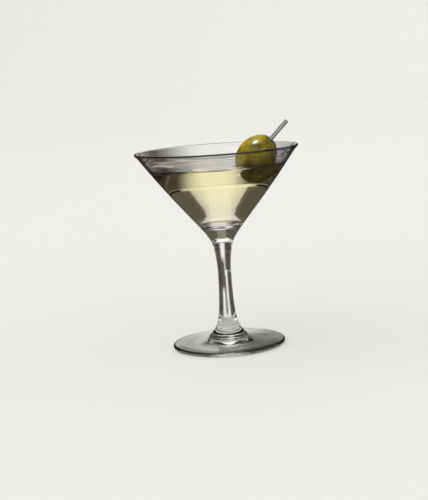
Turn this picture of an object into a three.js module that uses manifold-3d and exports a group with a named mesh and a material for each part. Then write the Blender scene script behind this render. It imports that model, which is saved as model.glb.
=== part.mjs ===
// Martini cocktail: a stemmed glass filled with a pale drink, and an olive on a pick.
// Millimetres, +Z up. The origin is the middle of the foot's resting ring, and the
// olive floats towards +X.

import * as THREE from 'three';
import { mergeVertices } from 'three/addons/utils/BufferGeometryUtils.js';
import Module from 'manifold-3d';

// Glass: overall size, and the number of facets round it.
const GLASS_HEIGHT = 124.5;
const RIM_RADIUS = 51;
const SIDES = 56;

// Bowl: a cone that bows out a little and ends in a rounded floor.
const BOWL_SLOPE = 0.695;
const BOWL_BOW = 0.0018;
const WALL_THICKNESS = 1.6;
const WALL_THICKENING = 0.015;
const FLOOR_JOIN_HEIGHT = 87;

// Stem: solid glass, slimmest at its middle, blending into the bowl and into the foot.
const STEM_RADIUS = 3.02;
const STEM_SWELL = 0.00217;
const STEM_SWELL_HEIGHT = 37.4;
const STEM_BOWL_BLEND = 4;
const FLARE_SLOPE = 2.65;
const FLARE_HEIGHT = 7.45;
const STEM_FLARE_BLEND = 19;

// Heights where the outline's steps grow finer or coarser.
const FLARE_START = 6.5;
const STEM_START = 28;
const THROAT_START = 58;
const BOWL_START = 82;
const FLARE_CROWDING = 1.7;

// Foot: a thin disc, hollow underneath, whose upper face rises to a collar.
const FOOT_RADIUS = 35.5;
const FOOT_EDGE = 2.6;
const HOLLOW_RADIUS = 27;
const HOLLOW_DEPTH = 1.1;
const SHOULDER_HEIGHT = 4.3;
const FACE_CURVE = 1.4;
const COLLAR_RADIUS = 12.9;
const COLLAR_HEIGHT = 5.1;
const COLLAR_ROUNDING = 0.65;

// Drink: how far its surface lies under the rim, and its gap to glass and olive.
const DRINK_BELOW_RIM = 10.5;
const CLEARANCE = 0.3;

// Olive: speared lengthwise, with a dimple round the pick.
const OLIVE_LENGTH = 28.6;
const OLIVE_WIDTH = 23.2;
const OLIVE_TAPER = 0.05;
const OLIVE_SIDES = 36;
const OLIVE_STEPS = 18;
const OLIVE_OUT = 24.3;
const OLIVE_FORWARD = 15;
const OLIVE_BELOW_RIM = 5.3;
const DIMPLE_RADIUS = 3;
const DIMPLE_DEPTH = 1;

// Pick: a round stick with a square-cut end, leaning outwards and a little towards -Y.
const PICK_RADIUS = 1.25;
const PICK_RISE = 45.4;
const PICK_TURN = 16;
const PICK_ABOVE = 28.6;
const PICK_BELOW = 8;
const PICK_BEVEL = 0.2;
const PICK_SIDES = 20;

const FINISHES = {
  glass: { color: '#eef1f0', roughness: 0.03, metalness: 0, transparent: true, opacity: 0.35 },
  drink: { color: '#ece5bf', roughness: 0.05, metalness: 0, transparent: true, opacity: 0.8 },
  olive: { color: '#8f8420', roughness: 0.35, metalness: 0 },
  pick: { color: '#c9c8c4', roughness: 0.25, metalness: 0.9 },
};

const wasm = await Module();
wasm.setup();

const point = (radius, height) => new THREE.Vector2(radius, height);

// Values from one end to the other, both kept, in equal steps.
function spaced(from, to, steps) {
  return Array.from({ length: steps + 1 }, (_, i) => from + ((to - from) * i) / steps);
}

// Points on a turn about a centre, angles in degrees from the outward direction.
function arc(radius, height, size, from, to, steps) {
  return spaced(from, to, steps).map((degrees) => {
    const angle = THREE.MathUtils.degToRad(degrees);
    return point(radius + size * Math.cos(angle), height + size * Math.sin(angle));
  });
}

// The larger of two values, rounded over where they are nearly the same.
function softMax(a, b, blend) {
  return 0.5 * (a + b + Math.hypot(a - b, blend));
}

// Outer radius of bowl, stem and flare at a height above the collar.
function outerRadius(z) {
  const drop = GLASS_HEIGHT - z;
  const cone = RIM_RADIUS - BOWL_SLOPE * drop - BOWL_BOW * drop * drop;
  const stem = STEM_RADIUS + STEM_SWELL * Math.max(0, z - STEM_SWELL_HEIGHT) ** 2;
  const flare = FLARE_SLOPE * (FLARE_HEIGHT - z);
  return softMax(cone, softMax(stem, flare, STEM_FLARE_BLEND), STEM_BOWL_BLEND);
}

// How much the bowl's outside widens for each millimetre of height.
function outerSlope(z) {
  return outerRadius(z + 0.5) - outerRadius(z - 0.5);
}

// Radius of a surface that lies a given depth inside the bowl's wall face.
function insetRadius(z, depth) {
  return outerRadius(z) - depth * Math.hypot(1, outerSlope(z));
}

// Radius of the bowl's inside, whose wall thickens towards the floor.
function innerRadius(z) {
  return insetRadius(z, WALL_THICKNESS + WALL_THICKENING * (GLASS_HEIGHT - z));
}

// Half the bowl's hollow from the floor's middle to a height, kept clear by a gap.
// The floor is part of a ball that runs into the wall without a kink.
function hollowProfile(top, gap, floorSteps, wallSteps) {
  const joinRadius = innerRadius(FLOOR_JOIN_HEIGHT);
  const slope = innerRadius(FLOOR_JOIN_HEIGHT + 0.5) - innerRadius(FLOOR_JOIN_HEIGHT - 0.5);
  const ballHeight = FLOOR_JOIN_HEIGHT + joinRadius * slope;
  const ballRadius = joinRadius * Math.hypot(1, slope);
  const joinAngle = -THREE.MathUtils.radToDeg(Math.atan(slope));
  const floor = arc(0, ballHeight, ballRadius - gap, -90, joinAngle, floorSteps);
  floor[0].x = 0;
  const wall = spaced(FLOOR_JOIN_HEIGHT, top, wallSteps).slice(1);
  return [...floor, ...wall.map((z) => point(innerRadius(z) - gap * Math.hypot(1, slope), z))];
}

// Underside, resting ring, rolled edge and upper face of the foot.
function footProfile() {
  const hollow = spaced(0, 1, 4).map((t) => point(HOLLOW_RADIUS * t, HOLLOW_DEPTH * (1 - t * t)));
  const roll = FOOT_EDGE / 2;
  const edge = arc(FOOT_RADIUS - roll, roll, roll, -90, 90, 8);
  const reach = COLLAR_RADIUS - FOOT_RADIUS + roll;
  const face = spaced(0, 1, 3).slice(1).map((t) => {
    const height = FOOT_EDGE + (SHOULDER_HEIGHT - FOOT_EDGE) * t ** FACE_CURVE;
    return point(FOOT_RADIUS - roll + reach * t, height);
  });
  return [...hollow, ...edge, ...face];
}

// Collar's rounded edge, then flare, stem and the outside of the bowl up to the lip.
function sideProfile() {
  const collarCentre = COLLAR_RADIUS - COLLAR_ROUNDING;
  const collar = arc(collarCentre, COLLAR_HEIGHT, COLLAR_ROUNDING, -60, 60, 4);
  const flareHeights = spaced(0, 1, 9).map((t) => {
    return FLARE_START + (STEM_START - FLARE_START) * t ** FLARE_CROWDING;
  });
  const stemHeights = spaced(STEM_START, THROAT_START, 5).slice(1);
  const throatHeights = spaced(THROAT_START, BOWL_START, 12).slice(1);
  const bowlHeights = spaced(BOWL_START, GLASS_HEIGHT - 2 * WALL_THICKNESS, 4).slice(1);
  const all = [...flareHeights, ...stemHeights, ...throatHeights, ...bowlHeights];
  return [...collar, ...all.map((z) => point(outerRadius(z), z))];
}

// Rounded lip, from the wall's outside over the top to its inside.
function lipProfile() {
  const size = WALL_THICKNESS / 2;
  const lean = THREE.MathUtils.radToDeg(Math.atan(BOWL_SLOPE));
  return arc(RIM_RADIUS - size, GLASS_HEIGHT - size, size, -lean, 180 - lean, 7);
}

// A closed solid turned about the Z axis.
function turned(profile, sides) {
  const geometry = new THREE.LatheGeometry(profile, sides);
  geometry.rotateX(Math.PI / 2);
  return geometry;
}

// The glass in one piece, from the foot's middle round to the bowl's floor.
function glassGeometry() {
  const inside = hollowProfile(GLASS_HEIGHT - 2 * WALL_THICKNESS, 0, 6, 4).reverse();
  return turned([...footProfile(), ...sideProfile(), ...lipProfile(), ...inside], SIDES);
}

// Half outline of the olive about its own axis, the pick's end up, grown by a gap.
function oliveProfile(gap) {
  return spaced(180, 0, OLIVE_STEPS).map((degrees) => {
    const angle = THREE.MathUtils.degToRad(degrees);
    const belly = 1 - OLIVE_TAPER * Math.cos(angle);
    const radius = (OLIVE_WIDTH / 2 + gap) * Math.sin(angle) * belly;
    return point(radius, (OLIVE_LENGTH / 2 + gap) * Math.cos(angle));
  });
}

// The olive with its dimple and the bore that the pick fills.
function oliveGeometry() {
  const bore = PICK_RADIUS + CLEARANCE;
  const skin = oliveProfile(0).filter((p, i) => i === 0 || p.y < 0 || p.x > bore);
  skin[0].x = 0;
  const brim = Math.asin((2 * bore) / OLIVE_WIDTH);
  skin.push(point(bore, (OLIVE_LENGTH / 2) * Math.cos(brim)));
  const dimpled = skin.map((p) => {
    const near = Math.max(0, 1 - (p.x / DIMPLE_RADIUS) ** 2);
    return p.y > 0 ? point(p.x, p.y - DIMPLE_DEPTH * near) : p;
  });
  const depth = -PICK_BELOW - CLEARANCE;
  return turned([...dimpled, point(bore, depth), point(0, depth)], OLIVE_SIDES);
}

// The pick, bevelled a little at both ends.
function pickGeometry() {
  const half = [
    point(0, -PICK_BELOW),
    point(PICK_RADIUS - PICK_BEVEL, -PICK_BELOW),
    point(PICK_RADIUS, -PICK_BELOW + PICK_BEVEL),
    point(PICK_RADIUS, PICK_ABOVE - PICK_BEVEL),
    point(PICK_RADIUS - PICK_BEVEL, PICK_ABOVE),
    point(0, PICK_ABOVE),
  ];
  return turned(half, PICK_SIDES);
}

// Moves a shape made about its own axis to where olive and pick lie in the glass.
function garnished(geometry) {
  geometry.rotateY(THREE.MathUtils.degToRad(90 - PICK_RISE));
  geometry.rotateZ(-THREE.MathUtils.degToRad(PICK_TURN));
  geometry.translate(OLIVE_OUT, -OLIVE_FORWARD, GLASS_HEIGHT - OLIVE_BELOW_RIM);
  return geometry;
}

// A closed geometry as a solid that can be cut.
function solidOf(geometry) {
  const bare = geometry.clone();
  bare.deleteAttribute('normal');
  bare.deleteAttribute('uv');
  const merged = mergeVertices(bare, 1e-4);
  const vertProperties = new Float32Array(merged.attributes.position.array);
  const triVerts = new Uint32Array(merged.index.array);
  return new wasm.Manifold(new wasm.Mesh({ numProp: 3, vertProperties, triVerts }));
}

// A cut solid as a geometry again.
function geometryOf(solid) {
  const mesh = solid.getMesh();
  const geometry = new THREE.BufferGeometry();
  geometry.setAttribute('position', new THREE.BufferAttribute(mesh.vertProperties, 3));
  geometry.setIndex(new THREE.BufferAttribute(mesh.triVerts, 1));
  return geometry;
}

// The drink fills the hollow up to its surface and leaves room for the olive.
function drinkGeometry() {
  const level = GLASS_HEIGHT - DRINK_BELOW_RIM;
  const filled = turned([...hollowProfile(level, CLEARANCE, 6, 4), point(0, level)], SIDES);
  const olive = garnished(turned(oliveProfile(CLEARANCE), OLIVE_SIDES));
  return geometryOf(solidOf(filled).subtract(solidOf(olive)));
}

// A named mesh with its own finish.
function piece(name, geometry) {
  const mesh = new THREE.Mesh(geometry, new THREE.MeshStandardMaterial(FINISHES[name]));
  mesh.name = name;
  return mesh;
}

const cocktail = new THREE.Group();
cocktail.add(piece('glass', glassGeometry()));
cocktail.add(piece('drink', drinkGeometry()));
cocktail.add(piece('olive', garnished(oliveGeometry())));
cocktail.add(piece('pick', garnished(pickGeometry())));

export default cocktail;
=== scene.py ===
import logging
import math
from abc import ABC, abstractmethod
from dataclasses import dataclass
from enum import Enum
from typing import Any, Sequence

import bpy
from mathutils import Matrix, Vector, noise


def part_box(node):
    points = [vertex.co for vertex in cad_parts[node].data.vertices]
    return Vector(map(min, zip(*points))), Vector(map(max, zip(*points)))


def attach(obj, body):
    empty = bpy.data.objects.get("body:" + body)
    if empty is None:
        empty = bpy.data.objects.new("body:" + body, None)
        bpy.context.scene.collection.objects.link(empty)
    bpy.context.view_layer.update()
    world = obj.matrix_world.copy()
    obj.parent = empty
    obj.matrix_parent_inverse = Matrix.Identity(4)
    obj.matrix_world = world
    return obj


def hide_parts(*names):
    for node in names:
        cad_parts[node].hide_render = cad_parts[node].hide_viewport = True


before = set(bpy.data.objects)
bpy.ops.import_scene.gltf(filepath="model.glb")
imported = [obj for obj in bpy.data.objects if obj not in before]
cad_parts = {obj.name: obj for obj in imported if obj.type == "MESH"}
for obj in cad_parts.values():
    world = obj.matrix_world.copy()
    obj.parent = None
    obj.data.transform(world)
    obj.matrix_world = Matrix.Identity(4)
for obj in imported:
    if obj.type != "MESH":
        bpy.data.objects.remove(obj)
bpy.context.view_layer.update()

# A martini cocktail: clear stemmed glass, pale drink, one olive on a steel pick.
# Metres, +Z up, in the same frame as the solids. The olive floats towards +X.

LOG = logging.getLogger("cocktail")
MM = 0.001
BODY = "root"

Colour = tuple[float, float, float]
Ring = list[int]


class Slot(Enum):
    """Names of the material slots for the four pieces."""

    GLASS = "glass"
    DRINK = "drink"
    OLIVE = "olive"
    PICK = "pick"


class Rays(Enum):
    """Kinds of ray that a studio card can be hidden from."""

    CAMERA = "visible_camera"
    DIFFUSE = "visible_diffuse"
    SHADOW = "visible_shadow"


def linear(red: int, green: int, blue: int) -> Colour:
    """Turns a colour given in 8-bit display values into linear light.

    Args:
        red: display red, 0 to 255.
        green: display green, 0 to 255.
        blue: display blue, 0 to 255.

    Returns:
        The same colour in linear values from 0 to 1.
    """
    shares = (value / 255 for value in (red, green, blue))
    return tuple(s / 12.92 if s <= 0.04045 else ((s + 0.055) / 1.055) ** 2.4 for s in shares)


def soft_max(first: float, second: float, blend: float) -> float:
    """Gives the larger of two values, rounded over where they are nearly the same.

    Args:
        first: one value.
        second: the other value.
        blend: width of the rounding.

    Returns:
        The rounded maximum.
    """
    return 0.5 * (first + second + math.hypot(first - second, blend))


def spaced(start: float, end: float, steps: int) -> list[float]:
    """Gives values from start to end in equal steps, both ends kept."""
    return [start + (end - start) * i / steps for i in range(steps + 1)]


def eased(distance: float, width: float) -> float:
    """Eases from 0 at no distance to 1 at a width, or steps there when the width is 0."""
    share = min(1.0, max(0.0, distance / width)) if width > 0 else 1.0
    return share * share * (3 - 2 * share)


def arc(
    radius: float, height: float, size: float, start: float, end: float, steps: int
) -> list[Vector]:
    """Gives profile points on part of a circle.

    Args:
        radius: distance of the circle's middle from the axis.
        height: height of the circle's middle.
        size: the circle's own radius.
        start: first angle in degrees from the outward direction.
        end: last angle in degrees.
        steps: number of equal steps.

    Returns:
        Points of radius and height.
    """
    turns = (math.radians(a) for a in spaced(start, end, steps))
    return [Vector((radius + size * math.cos(a), height + size * math.sin(a))) for a in turns]


class Signal:
    """A shader value that Python arithmetic extends with Math nodes."""

    def __init__(self, sheet: "Sheet", socket: bpy.types.NodeSocket) -> None:
        """Keeps the socket and the sheet that it belongs to."""
        self.sheet = sheet
        self.socket = socket

    def _math(self, operation: str, first: Any, second: Any) -> "Signal":
        """Adds one Math node over two operands."""
        return self.sheet.node("ShaderNodeMath", {"operation": operation}, {0: first, 1: second})

    def __add__(self, other: Any) -> "Signal":
        """Adds a value or another signal."""
        return self._math("ADD", self, other)

    def __sub__(self, other: Any) -> "Signal":
        """Takes a value or another signal away."""
        return self._math("SUBTRACT", self, other)

    def __rsub__(self, other: Any) -> "Signal":
        """Takes this signal away from a value."""
        return self._math("SUBTRACT", other, self)

    def __mul__(self, other: Any) -> "Signal":
        """Multiplies by a value or another signal."""
        return self._math("MULTIPLY", self, other)

    __radd__ = __add__
    __rmul__ = __mul__


class Sheet:
    """The node tree of one material or world, with its output ready."""

    def __init__(self, owner: bpy.types.Material | bpy.types.World) -> None:
        """Clears the owner's nodes and gives it an output.

        Args:
            owner: the material or world that is drawn up.
        """
        owner.use_nodes = True
        self.owner = owner
        self.tree = owner.node_tree
        self.tree.nodes.clear()
        kind = "World" if isinstance(owner, bpy.types.World) else "Material"
        self.output = self.tree.nodes.new(f"ShaderNodeOutput{kind}")

    @classmethod
    def named(cls, name: str) -> "Sheet":
        """Starts a sheet for a new material of that name."""
        return cls(bpy.data.materials.new(name))

    def _feed(self, socket: bpy.types.NodeSocket, value: Any) -> None:
        """Links a signal into a socket, or sets the socket's own value.

        Args:
            socket: the input socket.
            value: a signal, a number, a vector or a colour.
        """
        if isinstance(value, Signal):
            self.tree.links.new(value.socket, socket)
        elif isinstance(value, tuple) and len(value) == 3 and socket.type == "RGBA":
            socket.default_value = (*value, 1.0)
        else:
            socket.default_value = value

    def node(
        self, kind: str, settings: dict[str, Any], inputs: dict[Any, Any], output: Any = 0
    ) -> Signal:
        """Adds any node.

        Args:
            kind: the node's type.
            settings: properties that are set before the sockets.
            inputs: values or signals by socket name or number.
            output: name or number of the output wanted.

        Returns:
            That output as a signal.
        """
        made = self.tree.nodes.new(kind)
        for key, value in settings.items():
            if key == "stops":
                self._stops(made.color_ramp, value)
            else:
                setattr(made, key, value)
        for key, value in inputs.items():
            self._feed(made.inputs[key], value)
        return Signal(self, made.outputs[output])

    @staticmethod
    def _stops(ramp: bpy.types.ColorRamp, stops: Sequence[tuple[float, Colour]]) -> None:
        """Fills a ramp with its stops.

        Args:
            ramp: the ramp.
            stops: places and colours, from the lowest place up.
        """
        while len(ramp.elements) < len(stops):
            ramp.elements.new(1.0)
        for element, (place, colour) in zip(ramp.elements, stops):
            element.position = place
            element.color = (*colour, 1.0)

    def place(self) -> Signal:
        """Gives the point on the surface in the object's own metres."""
        return self.node("ShaderNodeTexCoord", {}, {}, "Object")

    def noise(
        self, scale: float, detail: float, roughness: float = 0.5, where: Signal | None = None
    ) -> Signal:
        """Adds a noise texture.

        Args:
            scale: features per metre.
            detail: octaves.
            roughness: strength of the finer octaves.
            where: the coordinates, or the surface's own.

        Returns:
            The noise's value.
        """
        values = {
            "Vector": where or self.place(),
            "Scale": scale,
            "Detail": detail,
            "Roughness": roughness,
        }
        return self.node("ShaderNodeTexNoise", {}, values, "Fac")

    def ramp(self, signal: Signal, stops: Sequence[tuple[float, Colour]]) -> Signal:
        """Turns a value into a colour by its stops."""
        return self.node("ShaderNodeValToRGB", {"stops": stops}, {"Fac": signal}, "Color")

    def band(self, signal: Signal, low: float, high: float) -> Signal:
        """Fades a value from 0 to 1.

        Args:
            signal: the value.
            low: where the result is 0.
            high: where the result is 1.

        Returns:
            The faded value.
        """
        settings = {"interpolation_type": "SMOOTHSTEP", "clamp": True}
        values = {"Value": signal, "From Min": low, "From Max": high}
        return self.node("ShaderNodeMapRange", settings, values)

    def mix(self, factor: Any, first: Any, second: Any) -> Signal:
        """Mixes two colours."""
        settings = {"data_type": "RGBA", "blend_type": "MIX"}
        return self.node("ShaderNodeMix", settings, {0: factor, 6: first, 7: second}, 2)

    def bump(
        self, height: Signal, strength: float, distance: float, below: Signal | None = None
    ) -> Signal:
        """Turns a height into a bent normal.

        Args:
            height: the relief, 0 to 1.
            strength: how much of it shows.
            distance: depth in metres.
            below: a coarser bump that it lies on.

        Returns:
            The normal.
        """
        values: dict[str, Any] = {"Strength": strength, "Distance": distance, "Height": height}
        if below is not None:
            values["Normal"] = below
        return self.node("ShaderNodeBump", {}, values)

    def end(self, shader: Signal, socket: str = "Surface") -> None:
        """Links a finished shader into one of the output's sockets."""
        self.tree.links.new(shader.socket, self.output.inputs[socket])

    def surface(self, **inputs: Any) -> bpy.types.Material:
        """Ends the sheet in one Principled shader.

        Args:
            **inputs: values or signals by socket name, with _ for a space.

        Returns:
            The finished material.
        """
        named = {key.replace("_", " "): value for key, value in inputs.items()}
        self.end(self.node("ShaderNodeBsdfPrincipled", {}, named))
        return self.owner


@dataclass(frozen=True)
class ClearGlass:
    """Clear soda-lime glass with the slight waviness of a pressed and drawn piece."""

    refraction: float = 1.5
    wave_scale: float = 55.0
    wave_strength: float = 0.25
    wave_depth: float = 0.06 * MM

    def material(self) -> bpy.types.Material:
        """Builds the glass.

        Returns:
            The material.
        """
        sheet = Sheet.named("clear_glass")
        waves = sheet.noise(self.wave_scale, 1.0)
        return sheet.surface(
            Base_Color=(1.0, 1.0, 1.0),
            Roughness=0.0,
            IOR=self.refraction,
            Transmission_Weight=1.0,
            Normal=sheet.bump(waves, self.wave_strength, self.wave_depth),
        )


@dataclass(frozen=True)
class PaleDrink:
    """Clear straw-coloured liquid that deepens with the way through it."""

    refraction: float = 1.35
    absorbed: Colour = (0.957, 0.833, 0.067)
    density: float = 9.0
    ripple_scale: float = 60.0
    ripple_strength: float = 0.15
    ripple_depth: float = 0.05 * MM

    def material(self) -> bpy.types.Material:
        """Builds the liquid.

        Returns:
            The material.
        """
        sheet = Sheet.named("pale_drink")
        values = {"Color": self.absorbed, "Density": self.density}
        body = sheet.node("ShaderNodeVolumeAbsorption", {}, values)
        sheet.end(body, "Volume")
        ripples = sheet.noise(self.ripple_scale, 1.0)
        return sheet.surface(
            Base_Color=(1.0, 1.0, 1.0),
            Roughness=0.0,
            IOR=self.refraction,
            Transmission_Weight=1.0,
            Normal=sheet.bump(ripples, self.ripple_strength, self.ripple_depth),
        )


@dataclass(frozen=True)
class OliveSkin:
    """Moist yellow-green skin, mottled, with fine pale specks and a dark stem scar widened into
    painted shade round the dimple.
    """

    light: Colour = linear(120, 106, 2)
    middle: Colour = linear(88, 76, 1)
    dark: Colour = linear(48, 40, 3)
    speck: Colour = linear(128, 116, 20)
    # Colour of the stem scar, also used as painted shade in the recess round the dimple.
    scar_and_shade: Colour = linear(42, 32, 16)
    mottle_scale: float = 170.0
    speck_scale: float = 900.0
    speck_share: float = 0.35
    speck_depth: float = 0.08 * MM
    scar_shade_inner: float = 2.4 * MM
    scar_shade_outer: float = 5.6 * MM
    scar_shade_scale: float = 600.0
    scar_shade_fraying: float = 1.2 * MM
    pore_scale: float = 1400.0
    pore_depth: float = 0.12 * MM

    def material(self, dimple: Vector) -> bpy.types.Material:
        """Builds the skin.

        Args:
            dimple: the middle of the stem dimple.

        Returns:
            The material.
        """
        sheet = Sheet.named("olive_skin")
        mottle = sheet.noise(self.mottle_scale, 4.0, 0.6)
        stops = [(0.3, self.dark), (0.5, self.middle), (0.72, self.light)]
        skin = sheet.ramp(mottle, stops)
        grid = {"Vector": sheet.place(), "Scale": self.speck_scale}
        cells = sheet.node("ShaderNodeTexVoronoi", {"feature": "F1"}, grid, "Distance")
        specks = 1.0 - sheet.band(cells, 0.1, 0.28)
        skin = sheet.mix(specks * self.speck_share, skin, self.speck)
        # Darker stem scar round the dimple, widened beyond it as painted shade of the recess where
        # the pick goes in.
        ends = {0: sheet.place(), 1: tuple(dimple)}
        away = sheet.node("ShaderNodeVectorMath", {"operation": "DISTANCE"}, ends, "Value")
        edge = away + sheet.noise(self.scar_shade_scale, 3.0) * self.scar_shade_fraying
        scar_and_shade_share = 1.0 - sheet.band(edge, self.scar_shade_inner, self.scar_shade_outer)
        skin = sheet.mix(scar_and_shade_share, skin, self.scar_and_shade)
        pores = sheet.noise(self.pore_scale, 3.0)
        speckled = sheet.bump(specks, 0.4, self.speck_depth)
        relief = sheet.bump(pores, 0.35, self.pore_depth, speckled)
        return sheet.surface(
            Base_Color=skin,
            Roughness=sheet.band(mottle, 0.2, 0.9) * 0.16 + 0.2,
            IOR=1.4,
            Specular_IOR_Level=0.2,
            Subsurface_Weight=0.08,
            Subsurface_Radius=(2.0 * MM, 1.6 * MM, 0.5 * MM),
            Subsurface_Scale=1.0,
            Coat_Weight=0.1,
            Coat_Roughness=0.16,
            Normal=relief,
        )


@dataclass(frozen=True)
class PolishedSteel:
    """Drawn and polished stainless steel with faint lengthwise lines."""

    colour: Colour = (0.37, 0.36, 0.345)
    line_scale: float = 5200.0
    line_stretch: float = 0.04
    line_depth: float = 0.02 * MM

    def material(self, along: Vector) -> bpy.types.Material:
        """Builds the steel.

        Args:
            along: the stick's own direction, which the lines follow.

        Returns:
            The material.
        """
        sheet = Sheet.named("polished_steel")
        turn = along.to_track_quat("Z", "Y").inverted().to_euler()
        stretch = (1.0, 1.0, self.line_stretch)
        values = {"Vector": sheet.place(), "Rotation": tuple(turn), "Scale": stretch}
        where = sheet.node("ShaderNodeMapping", {"vector_type": "POINT"}, values)
        lines = sheet.noise(self.line_scale, 2.0, 0.5, where)
        return sheet.surface(
            Base_Color=self.colour,
            Metallic=1.0,
            Roughness=lines * 0.08 + 0.05,
            Normal=sheet.bump(lines, 0.12, self.line_depth),
        )


@dataclass(frozen=True)
class StudioPaper:
    """Matt warm white paper that the glass stands on."""

    colour: Colour = (0.86, 0.853, 0.828)

    def material(self) -> bpy.types.Material:
        """Builds the paper.

        Returns:
            The material.
        """
        sheet = Sheet.named("studio_paper")
        return sheet.surface(Base_Color=self.colour, Roughness=0.95, Specular_IOR_Level=0.1)


@dataclass(frozen=True)
class BlackCard:
    """Matt black card.

    It thins out where its mesh says so, and light that something matt has scattered passes it.
    """

    shade: Colour = (0.055, 0.045, 0.037)

    def material(self) -> bpy.types.Material:
        """Builds the card.

        Returns:
            The material.
        """
        sheet = Sheet.named("black_card")
        cover = sheet.node("ShaderNodeAttribute", {"attribute_name": "cover"}, {}, "Fac")
        scattered = sheet.node("ShaderNodeLightPath", {}, {}, "Diffuse Depth")
        clear = sheet.node("ShaderNodeMath", {"operation": "LESS_THAN"}, {0: scattered, 1: 0.5})
        return sheet.surface(
            Base_Color=self.shade,
            Roughness=1.0,
            Specular_IOR_Level=0.0,
            Alpha=cover * clear,
        )


class Skin:
    """A mesh that grows ring by ring."""

    def __init__(self) -> None:
        """Starts with no points and no faces."""
        self.points: list[Vector] = []
        self.faces: list[tuple[int, ...]] = []

    def ring(self, points: Sequence[Vector]) -> Ring:
        """Adds points.

        Args:
            points: the points in order.

        Returns:
            Their numbers.
        """
        first = len(self.points)
        self.points.extend(points)
        return list(range(first, len(self.points)))

    def bridge(self, lower: Ring, upper: Ring) -> None:
        """Joins two closed rings of equal length with quads.

        Args:
            lower: the first ring's point numbers.
            upper: the second ring's point numbers.
        """
        count = len(lower)
        for i in range(count):
            j = (i + 1) % count
            self.faces.append((lower[i], lower[j], upper[j], upper[i]))

    def close(self, ring: Ring, tip: Vector, upwards: bool) -> None:
        """Closes a ring with a fan of triangles.

        Args:
            ring: the ring's point numbers.
            tip: where the triangles meet.
            upwards: whether the tip follows the ring, and doesn't come before it.
        """
        centre = self.ring([tip])[0]
        count = len(ring)
        for i in range(count):
            pair = (ring[i], ring[(i + 1) % count])
            self.faces.append((*pair, centre) if upwards else (pair[1], pair[0], centre))

    def sweep(self, rings: Sequence[Sequence[Vector]], start: Vector, end: Vector) -> None:
        """Makes a closed skin from a start point over rings to an end point.

        Args:
            rings: the rings in order, of equal length.
            start: the point before the first ring.
            end: the point after the last ring.
        """
        numbers = [self.ring(points) for points in rings]
        self.close(numbers[0], start, upwards=False)
        for lower, upper in zip(numbers, numbers[1:]):
            self.bridge(lower, upper)
        self.close(numbers[-1], end, upwards=True)

    def finished(self, name: str, material: bpy.types.Material) -> bpy.types.Object:
        """Makes the object, smooth shaded.

        Args:
            name: the piece's name.
            material: its finish.

        Returns:
            The object, linked to the scene.
        """
        mesh = bpy.data.meshes.new(name)
        mesh.from_pydata([tuple(p) for p in self.points], [], self.faces)
        mesh.materials.append(material)
        mesh.polygons.foreach_set("use_smooth", [True] * len(mesh.polygons))
        mesh.validate()
        mesh.update()
        made = bpy.data.objects.new(name, mesh)
        bpy.context.scene.collection.objects.link(made)
        return made


def around(point: Vector, turns: Sequence[float]) -> list[Vector]:
    """Turns one profile point about the Z axis to each of the angles."""
    return [Vector((point.x * math.cos(a), point.x * math.sin(a), point.y)) for a in turns]


def turned(profile: Sequence[Vector], sides: int) -> Skin:
    """Turns a profile about the Z axis into a closed skin.

    Args:
        profile: points of radius and height, the first and last on the axis.
        sides: number of facets round the axis.

    Returns:
        The skin.
    """
    turns = [2 * math.pi * i / sides for i in range(sides)]
    rings = [around(p, turns) for p in profile[1:-1]]
    skin = Skin()
    skin.sweep(rings, Vector((0, 0, profile[0].y)), Vector((0, 0, profile[-1].y)))
    return skin


def dressed(piece: bpy.types.Object, node: str) -> bpy.types.Object:
    """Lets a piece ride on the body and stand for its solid.

    Args:
        piece: the finished object.
        node: the solid that it stands for.

    Returns:
        The same object.
    """
    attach(piece, BODY)
    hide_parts(node)
    LOG.info("%s: %d faces, stands for %s", piece.name, len(piece.data.polygons), node)
    return piece


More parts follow.
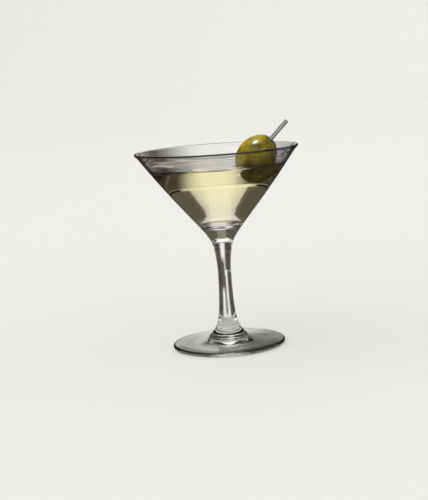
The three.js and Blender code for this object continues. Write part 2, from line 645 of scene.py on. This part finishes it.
@dataclass
class Stemware:
    """The glass: cone-shaped bowl, solid stem and foot, turned in one piece."""

    height: float
    rim_radius: float = 51 * MM
    sides: int = 288
    bowl_slope: float = 0.695
    bowl_bow: float = 1.8
    wall: float = 1.6 * MM
    wall_thickening: float = 0.015
    floor_join: float = 87 * MM
    stem_radius: float = 3.02 * MM
    stem_swell: float = 2.17
    stem_swell_height: float = 37.4 * MM
    bowl_blend: float = 4 * MM
    flare_slope: float = 2.65
    flare_height: float = 7.45 * MM
    flare_blend: float = 19 * MM
    flare_start: float = 6.5 * MM
    flare_crowding: float = 1.7
    stem_start: float = 28 * MM
    foot_radius: float = 35.5 * MM
    foot_edge: float = 2.6 * MM
    hollow_radius: float = 27 * MM
    hollow_depth: float = 1.1 * MM
    shoulder_height: float = 4.3 * MM
    face_curve: float = 1.4
    collar_radius: float = 12.9 * MM
    collar_height: float = 5.1 * MM
    collar_rounding: float = 0.65 * MM

    def lip_start(self) -> float:
        """Gives the height where the straight wall ends under the lip."""
        return self.height - 2 * self.wall

    def outer_radius(self, z: float) -> float:
        """Gives the outside radius of bowl, stem and flare at a height.

        Args:
            z: height above the collar.

        Returns:
            The radius.
        """
        drop = self.height - z
        cone = self.rim_radius - self.bowl_slope * drop - self.bowl_bow * drop * drop
        stem = self.stem_radius + self.stem_swell * max(0.0, z - self.stem_swell_height) ** 2
        flare = self.flare_slope * (self.flare_height - z)
        return soft_max(cone, soft_max(stem, flare, self.flare_blend), self.bowl_blend)

    def outer_slope(self, z: float) -> float:
        """Gives how much the outside widens for each unit of height."""
        step = 0.5 * MM
        return (self.outer_radius(z + step) - self.outer_radius(z - step)) / (2 * step)

    def inner_radius(self, z: float) -> float:
        """Gives the bowl's inside radius, whose wall thickens towards the floor."""
        depth = self.wall + self.wall_thickening * (self.height - z)
        return self.outer_radius(z) - depth * math.hypot(1, self.outer_slope(z))

    def inner_slope(self, z: float) -> float:
        """Gives how much the inside widens for each unit of height."""
        step = 0.5 * MM
        return (self.inner_radius(z + step) - self.inner_radius(z - step)) / (2 * step)

    def floor_ball(self) -> tuple[float, float, float]:
        """Gives the ball that the floor is part of.

        Returns:
            Height of its middle, its radius, and the angle in degrees where the wall leaves it.
        """
        radius = self.inner_radius(self.floor_join)
        slope = self.inner_slope(self.floor_join)
        middle = self.floor_join + radius * slope
        return middle, radius * math.hypot(1, slope), -math.degrees(math.atan(slope))

    def floor(self, reach: float = 0.0) -> list[Vector]:
        """Gives the floor's half profile from its middle outwards.

        Args:
            reach: how far it is pushed out into the glass.

        Returns:
            Points of radius and height.
        """
        height, radius, angle = self.floor_ball()
        points = arc(0, height, radius + reach, -90, angle, 40)
        points[0].x = 0
        return points

    def _foot(self) -> list[Vector]:
        """Draws the underside, resting ring, rolled edge and upper face of the foot.

        Returns:
            Points of radius and height.
        """
        shares = spaced(0, 1, 24)
        hollow = [Vector((self.hollow_radius * t, self.hollow_depth * (1 - t * t))) for t in shares]
        roll = self.foot_edge / 2
        start = self.foot_radius - roll
        edge = arc(start, roll, roll, -90, 90, 24)
        inwards = self.collar_radius - start
        rise = self.shoulder_height - self.foot_edge
        climbs = [self.foot_edge + rise * t**self.face_curve for t in shares]
        face = [Vector((start + inwards * t, z)) for t, z in zip(shares, climbs)][1:]
        return [*hollow, *edge, *face]

    def _side(self) -> list[Vector]:
        """Draws the collar's edge, the flare, the stem and the bowl's outside.

        Returns:
            Points of radius and height.
        """
        middle = self.collar_radius - self.collar_rounding
        collar = arc(middle, self.collar_height, self.collar_rounding, -60, 60, 10)
        run = self.stem_start - self.flare_start
        flare = [self.flare_start + run * t**self.flare_crowding for t in spaced(0, 1, 36)]
        rest = spaced(self.stem_start, self.lip_start(), 160)[1:]
        return [*collar, *(Vector((self.outer_radius(z), z)) for z in [*flare, *rest])]

    def _lip(self) -> list[Vector]:
        """Draws the rounded lip from the outside over the top to the inside.

        Returns:
            Points of radius and height.
        """
        size = self.wall / 2
        lean = math.degrees(math.atan(self.bowl_slope))
        return arc(self.rim_radius - size, self.height - size, size, -lean, 180 - lean, 20)

    def profile(self) -> list[Vector]:
        """Draws the half outline, from the foot's middle round to the bowl's floor.

        Returns:
            Points of radius and height.
        """
        heights = spaced(self.floor_join, self.lip_start(), 50)[1:]
        inside = [*self.floor(), *(Vector((self.inner_radius(z), z)) for z in heights)]
        return [*self._foot(), *self._side(), *self._lip(), *reversed(inside)]

    def build(self) -> bpy.types.Object:
        """Makes the glass and dresses it.

        Returns:
            The piece.
        """
        made = turned(self.profile(), self.sides).finished("stemmed_glass", ClearGlass().material())
        return dressed(made, "glass")


@dataclass
class Olive:
    """The olive: an egg-shaped body speared lengthwise, with a puckered stem dimple."""

    centre: Vector
    rise: float = 45.4
    turn: float = 16.0
    length: float = 28.6 * MM
    width: float = 23.2 * MM
    taper: float = 0.05
    sides: int = 160
    steps: int = 120
    dimple_radius: float = 4.2 * MM
    dimple_depth: float = 1.4 * MM
    bore_radius: float = 1.4 * MM
    bore_depth: float = 6 * MM
    unevenness: float = 0.2 * MM
    lumps: float = 90.0
    puckers: int = 9
    pucker_depth: float = 0.16 * MM

    def _leaning(self) -> Matrix:
        """Gives the turn from upright to how olive and pick lean."""
        lean = Matrix.Rotation(math.radians(90 - self.rise), 3, "Y")
        return Matrix.Rotation(-math.radians(self.turn), 3, "Z") @ lean

    def axis(self) -> Vector:
        """Gives the direction from the olive's middle along the pick."""
        return self._leaning() @ Vector((0, 0, 1))

    def placed(self) -> Matrix:
        """Gives the move from the olive's own axis to its place in the glass."""
        return Matrix.Translation(self.centre) @ self._leaning().to_4x4()

    def half_outline(self, angle: float) -> Vector:
        """Gives radius and height on the plain body for an angle from the pick's end."""
        belly = 1 - self.taper * math.cos(angle)
        return Vector((self.width / 2 * math.sin(angle) * belly, self.length / 2 * math.cos(angle)))

    def reach(self, direction: Vector) -> float:
        """Gives how far the plain body reaches from its middle.

        Args:
            direction: a unit vector in the glass's frame.

        Returns:
            The distance to the surface.
        """
        along = direction.dot(self.axis())
        across = math.sqrt(max(0.0, 1 - along * along))
        low, high = 0.0, math.pi
        for _ in range(40):
            middle = (low + high) / 2
            p = self.half_outline(middle)
            if math.atan2(p.x, p.y) < math.atan2(across, along):
                low = middle
            else:
                high = middle
        return self.half_outline(low).length

    def _relief(self, radius: float, turn: float) -> float:
        """Works out how far the dimple sinks the skin.

        Args:
            radius: distance from the olive's axis.
            turn: direction round the axis.

        Returns:
            The depth.
        """
        near = max(0.0, 1 - (radius / self.dimple_radius) ** 2)
        ridge = 0.5 + 0.5 * math.cos(self.puckers * turn + 1.7 * math.sin(2 * turn))
        return self.dimple_depth * near * near + self.pucker_depth * ridge * 4 * near * (1 - near)

    def _skin_point(self, angle: float, turn: float) -> Vector:
        """Places a point of the uneven skin about the olive's own axis.

        Args:
            angle: angle from the pick's end.
            turn: direction round the axis.

        Returns:
            The point.
        """
        flat = self.half_outline(angle)
        point = Vector((flat.x * math.cos(turn), flat.x * math.sin(turn), flat.y))
        swell = self.unevenness * noise.noise(point * self.lumps)
        point += point.normalized() * swell
        if point.z > 0:
            point.z -= self._relief(flat.x, turn)
        return point

    def build(self) -> bpy.types.Object:
        """Makes the olive and dresses it.

        Returns:
            The piece.
        """
        turns = [2 * math.pi * i / self.sides for i in range(self.sides)]
        start = math.asin(min(1.0, 2 * self.bore_radius / self.width))
        angles = spaced(math.pi, start, self.steps)[1:]
        rings = [[self._skin_point(a, t) for t in turns] for a in angles]
        brim = rings[-1]
        floor = self.length / 2 - self.dimple_depth - self.bore_depth
        for share in spaced(0, 1, 6)[1:]:
            rings.append([Vector((p.x, p.y, p.z + (floor - p.z) * share)) for p in brim])
        skin = Skin()
        skin.sweep(rings, Vector((0, 0, -self.length / 2)), Vector((0, 0, floor)))
        made = skin.finished("olive_body", OliveSkin().material(self.dimple_centre()))
        made.data.transform(self.placed())
        return dressed(made, "olive")

    def dimple_centre(self) -> Vector:
        """Gives the middle of the stem dimple."""
        return self.centre + self.axis() * (self.length / 2 - self.dimple_depth)


@dataclass
class Pick:
    """The pick: a plain round stick with a square-cut, slightly broken edge."""

    olive: Olive
    radius: float = 1.25 * MM
    above: float = 28.6 * MM
    below: float = 8 * MM
    bevel: float = 0.2 * MM
    sides: int = 64

    def build(self) -> bpy.types.Object:
        """Makes the pick and dresses it.

        Returns:
            The piece.
        """
        inner = self.radius - self.bevel
        lower = arc(inner, -self.below + self.bevel, self.bevel, -90, 0, 6)
        upper = arc(inner, self.above - self.bevel, self.bevel, 0, 90, 6)
        heights = spaced(-self.below + self.bevel, self.above - self.bevel, 12)[1:-1]
        shaft = [Vector((self.radius, z)) for z in heights]
        end = [Vector((inner * t, self.above)) for t in (0.66, 0.33, 0)]
        profile = [Vector((0, -self.below)), *lower, *shaft, *upper, *end]
        material = PolishedSteel().material(self.olive.axis())
        made = turned(profile, self.sides).finished("cocktail_pick", material)
        made.data.transform(self.olive.placed())
        return dressed(made, "pick")


@dataclass
class Drink:
    """The drink: it fills the bowl, climbs a little at glass and olive, and wraps the olive."""

    glass: Stemware
    olive: Olive
    below_rim: float = 10.5 * MM
    sides: int = 384
    wall_steps: int = 40
    across: int = 72
    wrap_steps: int = 28
    into_wall: float = 0.15 * MM
    into_olive: float = 0.35 * MM
    climb_wall: float = 1.0 * MM
    climb_olive: float = 0.8 * MM
    climb_width: float = 1.6 * MM

    def level(self) -> float:
        """Gives the height of the flat part of the surface."""
        return self.glass.height - self.below_rim

    def _climb(self, to_wall: float, to_olive: float) -> float:
        """Works out how far the surface rises.

        Args:
            to_wall: distance to the glass.
            to_olive: distance to the olive.

        Returns:
            The rise above the flat level.
        """
        wall = self.climb_wall * math.exp(-max(0.0, to_wall) / self.climb_width)
        olive = self.climb_olive * math.exp(-max(0.0, to_olive) / self.climb_width)
        return wall + olive

    def _wall_point(self, turn: float, z: float) -> Vector:
        """Gives a point just inside the glass at a height."""
        radius = self.glass.inner_radius(z) + self.into_wall
        return Vector((radius * math.cos(turn), radius * math.sin(turn), z))

    def _olive_point(self, turn: float, z: float) -> Vector:
        """Gives the point just inside the olive's skin at a height.

        Args:
            turn: direction from the olive's middle, seen from above.
            z: the height.

        Returns:
            The point.
        """
        outward = Vector((math.cos(turn), math.sin(turn), 0))
        drop = z - self.olive.centre.z
        low, high = 0.0, self.olive.length
        for _ in range(40):
            middle = (low + high) / 2
            offset = outward * middle + Vector((0, 0, drop))
            inside = offset.length < self.olive.reach(offset.normalized()) - self.into_olive
            low, high = (middle, high) if inside else (low, middle)
        return self.olive.centre + outward * low + Vector((0, 0, drop))

    def _shores(self) -> tuple[list[Vector], list[Vector]]:
        """Finds where the surface meets the glass and the olive.

        Returns:
            The line on the glass and the line on the olive, point for point.
        """
        level = self.level()
        outer, inner = [], []
        for i in range(self.sides):
            turn = 2 * math.pi * i / self.sides
            rim = self._wall_point(turn, level + self.climb_wall)
            away = rim - self.olive.centre
            facing = math.atan2(away.y, away.x)
            brim = self._olive_point(facing, level + self.climb_olive)
            gap = math.hypot(rim.x - brim.x, rim.y - brim.y)
            outer.append(self._wall_point(turn, level + self._climb(0, gap)))
            to_wall = self.glass.inner_radius(level) - math.hypot(brim.x, brim.y)
            inner.append(self._olive_point(facing, level + self._climb(to_wall, 0)))
        return outer, inner

    def _surface(self, outer: list[Vector], inner: list[Vector]) -> list[list[Vector]]:
        """Draws the open surface from the glass to the olive.

        Args:
            outer: the line on the glass.
            inner: the line on the olive, point for point.

        Returns:
            The rings between them.
        """
        rings = []
        for k in range(1, self.across):
            share = 0.5 - 0.5 * math.cos(math.pi * k / self.across)
            ring = []
            for shore, brim in zip(outer, inner):
                p = shore.lerp(brim, share)
                to_wall = math.hypot(shore.x, shore.y) - math.hypot(p.x, p.y)
                to_olive = math.hypot(p.x - brim.x, p.y - brim.y)
                ring.append(Vector((p.x, p.y, self.level() + self._climb(to_wall, to_olive))))
            rings.append(ring)
        return rings

    def _pocket(self, inner: list[Vector]) -> list[list[Vector]]:
        """Draws the skin that wraps the olive from the surface down to its lowest point.

        Args:
            inner: the line on the olive.

        Returns:
            The rings below it.
        """
        rings = []
        for share in spaced(0, 1, self.wrap_steps)[1:-1]:
            ring = []
            for brim in inner:
                start = (brim - self.olive.centre).normalized()
                direction = start.slerp(Vector((0, 0, -1)), share)
                distance = self.olive.reach(direction) - self.into_olive
                ring.append(self.olive.centre + direction * distance)
            rings.append(ring)
        return rings

    def build(self) -> bpy.types.Object:
        """Makes the drink and dresses it.

        Returns:
            The piece.
        """
        outer, inner = self._shores()
        turns = [2 * math.pi * i / self.sides for i in range(self.sides)]
        floor = self.glass.floor(self.into_wall)
        rings = [around(p, turns) for p in floor[1:]]
        join = self.glass.floor_join
        for share in spaced(0, 1, self.wall_steps)[1:-1]:
            heights = [join + (shore.z - join) * share for shore in outer]
            rings.append([self._wall_point(a, z) for a, z in zip(turns, heights)])
        rings += [outer, *self._surface(outer, inner), inner, *self._pocket(inner)]
        down = Vector((0, 0, -1))
        bottom = self.olive.centre + down * (self.olive.reach(down) - self.into_olive)
        skin = Skin()
        skin.sweep(rings, Vector((0, 0, floor[0].y)), bottom)
        made = skin.finished("drink_body", PaleDrink().material())
        return dressed(made, "drink")


@dataclass(frozen=True, kw_only=True)
class Card(ABC):
    """One curved black card with soft edges.

    Turns are in degrees from the back, positive to the right.
    """

    name: str
    start: float
    end: float
    soft_start: float = 0.0
    soft_end: float = 0.0
    soft_low: float = 0.0
    soft_high: float = 0.0
    cover: float = 1.0
    step: float = 2.0

    @abstractmethod
    def outline(self) -> list[Vector]:
        """Gives the card's own outline as points of radius and height."""

    def strength(self, turn: float, share: float) -> float:
        """Gives how much the card covers at one of its points.

        Args:
            turn: the point's direction in degrees.
            share: its place along the outline, 0 to 1.

        Returns:
            The cover, 0 to 1.
        """
        across = eased(turn - self.start, self.soft_start) * eased(self.end - turn, self.soft_end)
        along = eased(share, self.soft_low) * eased(1 - share, self.soft_high)
        return self.cover * across * along

    def build(self, material: bpy.types.Material) -> None:
        """Stands the card up, unseen by the camera and casting no shadow.

        Args:
            material: the card's finish.
        """
        points = self.outline()
        turns = spaced(self.start, self.end, round((self.end - self.start) / self.step))
        sides = [(math.sin(math.radians(t)), math.cos(math.radians(t))) for t in turns]
        skin = Skin()
        rows = [skin.ring([Vector((p.x * s, p.x * c, p.y)) for s, c in sides]) for p in points]
        for lower, upper in zip(rows, rows[1:]):
            skin.faces += zip(lower, lower[1:], upper[1:], upper)
        made = skin.finished(self.name, material)
        shares = spaced(0, 1, len(points) - 1)
        cover = made.data.attributes.new("cover", "FLOAT", "POINT")
        cover.data.foreach_set("value", [self.strength(t, s) for s in shares for t in turns])
        for rays in Rays:
            setattr(made, rays.value, False)


@dataclass(frozen=True, kw_only=True)
class FloorCard(Card):
    """A card that lies on the paper."""

    near: float
    far: float
    height: float = 0.5 * MM

    def outline(self) -> list[Vector]:
        """Gives the flat outline from near to far."""
        return [Vector((r, self.height)) for r in spaced(self.near, self.far, 24)]


@dataclass(frozen=True, kw_only=True)
class DomeCard(Card):
    """A card that curves round and over the glass."""

    low: float
    high: float
    radius: float = 0.36
    middle: float = 0.09

    def outline(self) -> list[Vector]:
        """Gives the arched outline from the low to the high angle."""
        return arc(0, self.middle, self.radius, self.low, self.high, 32)


@dataclass(frozen=True)
class Key:
    """A broad, soft light from the upper left that falls on one piece only."""

    towards: tuple[float, float, float] = (-0.25, -0.15, 0.95)
    width: float = 14.0
    strength: float = 7.0
    colour: Colour = (1.0, 0.985, 0.95)

    def light(self, piece: bpy.types.Object) -> None:
        """Hangs the light.

        Args:
            piece: what it falls on.
        """
        data = bpy.data.lights.new("key", "SUN")
        data.angle = math.radians(self.width)
        data.energy = self.strength
        data.color = self.colour
        made = bpy.data.objects.new("key", data)
        made.rotation_euler = Vector(self.towards).to_track_quat("Z", "Y").to_euler()
        lit = bpy.data.collections.new("lit_by_key")
        lit.objects.link(piece)
        made.light_linking.receiver_collection = lit
        bpy.context.scene.collection.objects.link(made)


@dataclass(frozen=True)
class Glow:
    """A brighter patch of the sky, which fades out towards its edge."""

    towards: tuple[float, float, float]
    edge: float
    strength: float

    def light(self, sheet: Sheet, direction: Signal) -> Signal:
        """Gives the patch's light.

        Args:
            sheet: the sky's sheet.
            direction: where a ray is going.

        Returns:
            The strength that it adds.
        """
        inputs = {0: direction, 1: tuple(Vector(self.towards).normalized())}
        facing = sheet.node("ShaderNodeVectorMath", {"operation": "DOT_PRODUCT"}, inputs, "Value")
        return sheet.band(facing, self.edge, 1.0) * self.strength


@dataclass(frozen=True)
class Sky:
    """Light from all round, weaker overhead and stronger at its glows."""

    colour: Colour = (1.0, 0.995, 0.98)
    level: float = 0.845
    zenith: float = 0.44
    zenith_from: float = 0.75
    glows: tuple[Glow, ...] = (
        Glow(towards=(-0.55, -0.2, 0.82), edge=0.3, strength=0.58),
        Glow(towards=(0.0, 0.8, 0.6), edge=0.88, strength=0.25),
    )

    def build(self) -> None:
        """Sets up the world."""
        world = bpy.data.worlds.new("studio")
        sheet = Sheet(world)
        direction = sheet.node("ShaderNodeTexCoord", {}, {}, "Generated")
        height = sheet.node("ShaderNodeSeparateXYZ", {}, {"Vector": direction}, "Z")
        dimming = sheet.band(height, self.zenith_from, 1.0) * (self.level - self.zenith)
        strength = self.level - dimming
        for glow in self.glows:
            strength = strength + glow.light(sheet, direction)
        light = {"Color": self.colour, "Strength": strength}
        sheet.end(sheet.node("ShaderNodeBackground", {}, light))
        bpy.context.scene.world = world


@dataclass
class Studio:
    """Pale paper sweep, a soft sky, and black cards that only glass and metal see."""

    floor_radius: float = 2.4
    sweep_height: float = 1.3
    sweep_sides: int = 128
    paper_drop: float = 0.02 * MM
    sky: Sky = Sky()
    cards: tuple[Card, ...] = (
        DomeCard(
            name="high_card_right", start=10, end=125, soft_start=36, soft_end=25, cover=0.9,
            low=14, high=82, soft_low=0.15, soft_high=0.12,
        ),
        DomeCard(
            name="high_card_left", start=-125, end=-12, soft_start=25, soft_end=32, cover=0.95,
            low=14, high=82, soft_low=0.15, soft_high=0.12,
        ),
        DomeCard(
            name="level_card_right", start=5, end=72, soft_start=12, soft_end=25,
            low=-14, high=24, soft_high=0.25,
        ),
        DomeCard(
            name="level_card_left", start=-72, end=-2, soft_start=25, soft_end=9,
            low=-14, high=24, soft_high=0.25,
        ),
        DomeCard(
            name="middle_card", start=-12, end=18, soft_start=6, soft_end=6, cover=0.6,
            low=12, high=21, soft_low=0.3, soft_high=0.3,
        ),
        DomeCard(
            name="overhead_card", start=-180, end=180, cover=0.8,
            low=69, high=89, soft_low=0.3,
        ),
        DomeCard(
            name="foot_card", start=-8, end=60, soft_start=12, soft_end=20,
            low=5, high=34, soft_low=0.2, soft_high=0.3, radius=0.1, middle=0.0,
        ),
        FloorCard(
            name="floor_card_right", start=12, end=145, soft_start=10, soft_end=25,
            near=0.038, far=0.36,
        ),
        FloorCard(
            name="floor_card_left", start=-145, end=-10, soft_start=25, soft_end=12,
            near=0.038, far=0.36,
        ),
        FloorCard(
            name="floor_card_back", start=-8, end=7, soft_start=4, soft_end=4, cover=0.75,
            near=0.04, far=0.29, soft_low=0.08, soft_high=0.1,
        ),
        # Dark card under the foot, seen only through the glass: painted shade on the foot's front
        # and right.
        FloorCard(
            name="shade_card_under_foot", start=80, end=230, soft_start=40, soft_end=40, cover=0.5,
            near=0.01, far=0.0345, soft_low=0.3, height=-0.01 * MM,
        ),
    )

    def build_sweep(self) -> None:
        """Makes the round paper sweep, flat under the glass and curving up far away."""
        curve = [Vector((self.floor_radius * t, -self.paper_drop)) for t in spaced(0, 1, 12)]
        curve += arc(self.floor_radius, self.sweep_height, self.sweep_height, -90, 0, 32)[1:]
        skin = Skin()
        turns = [2 * math.pi * i / self.sweep_sides for i in range(self.sweep_sides)]
        numbers = [skin.ring(around(p, turns)) for p in curve[1:]]
        skin.close(numbers[0], Vector((0, 0, curve[0].y)), upwards=True)
        for lower, upper in zip(numbers, numbers[1:]):
            skin.bridge(upper, lower)
        floor = skin.finished("paper_sweep", StudioPaper().material())

    def build(self) -> None:
        """Sets up the whole studio and the plain colour response."""
        self.build_sweep()
        self.sky.build()
        material = BlackCard().material()
        for card in self.cards:
            card.build(material)
        bpy.context.scene.view_settings.view_transform = "Standard"
        bpy.context.scene.view_settings.look = "None"


@dataclass
class Viewpoint:
    """The camera, at the photograph's angle: a little above the rim, leaning slightly."""

    distance: float = 0.746
    height: float = 0.1759
    pan: float = -0.43
    tilt: float = 8.76
    roll: float = 4.07
    focal_pixels: float = 1201.5
    frame_height: int = 500
    sensor: float = 36.0

    def build(self) -> None:
        """Makes the camera and gives it to the scene."""
        pan, tilt, roll = (math.radians(a) for a in (self.pan, self.tilt, self.roll))
        ahead = Vector((math.sin(pan), math.cos(pan), 0))
        forward = ahead * math.cos(tilt) - Vector((0, 0, math.sin(tilt)))
        level = Vector((math.cos(pan), -math.sin(pan), 0))
        upright = level.cross(forward)
        right = level * math.cos(roll) - upright * math.sin(roll)
        up = level * math.sin(roll) + upright * math.cos(roll)
        data = bpy.data.cameras.new("view")
        data.sensor_width = self.sensor
        data.lens = self.focal_pixels * self.sensor / self.frame_height
        camera = bpy.data.objects.new("view", data)
        turn = Matrix((right, up, -forward)).transposed()
        place = Matrix.Translation((0, -self.distance, self.height))
        camera.matrix_world = place @ turn.to_4x4()
        bpy.context.scene.collection.objects.link(camera)
        bpy.context.scene.camera = camera


def main() -> None:
    """Builds the studio, then the glass, the olive, the pick and the drink."""
    logging.basicConfig(level=logging.INFO, format="%(name)s: %(message)s")
    Viewpoint().build()
    Studio().build()
    glass = Stemware(height=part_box("glass")[1].z)
    glass.build()
    olive = Olive(centre=Vector((24.3 * MM, -15 * MM, glass.height - 5.3 * MM)))
    Key().light(olive.build())
    Pick(olive).build()
    Drink(glass, olive).build()


if __name__ == "__main__":
    main()
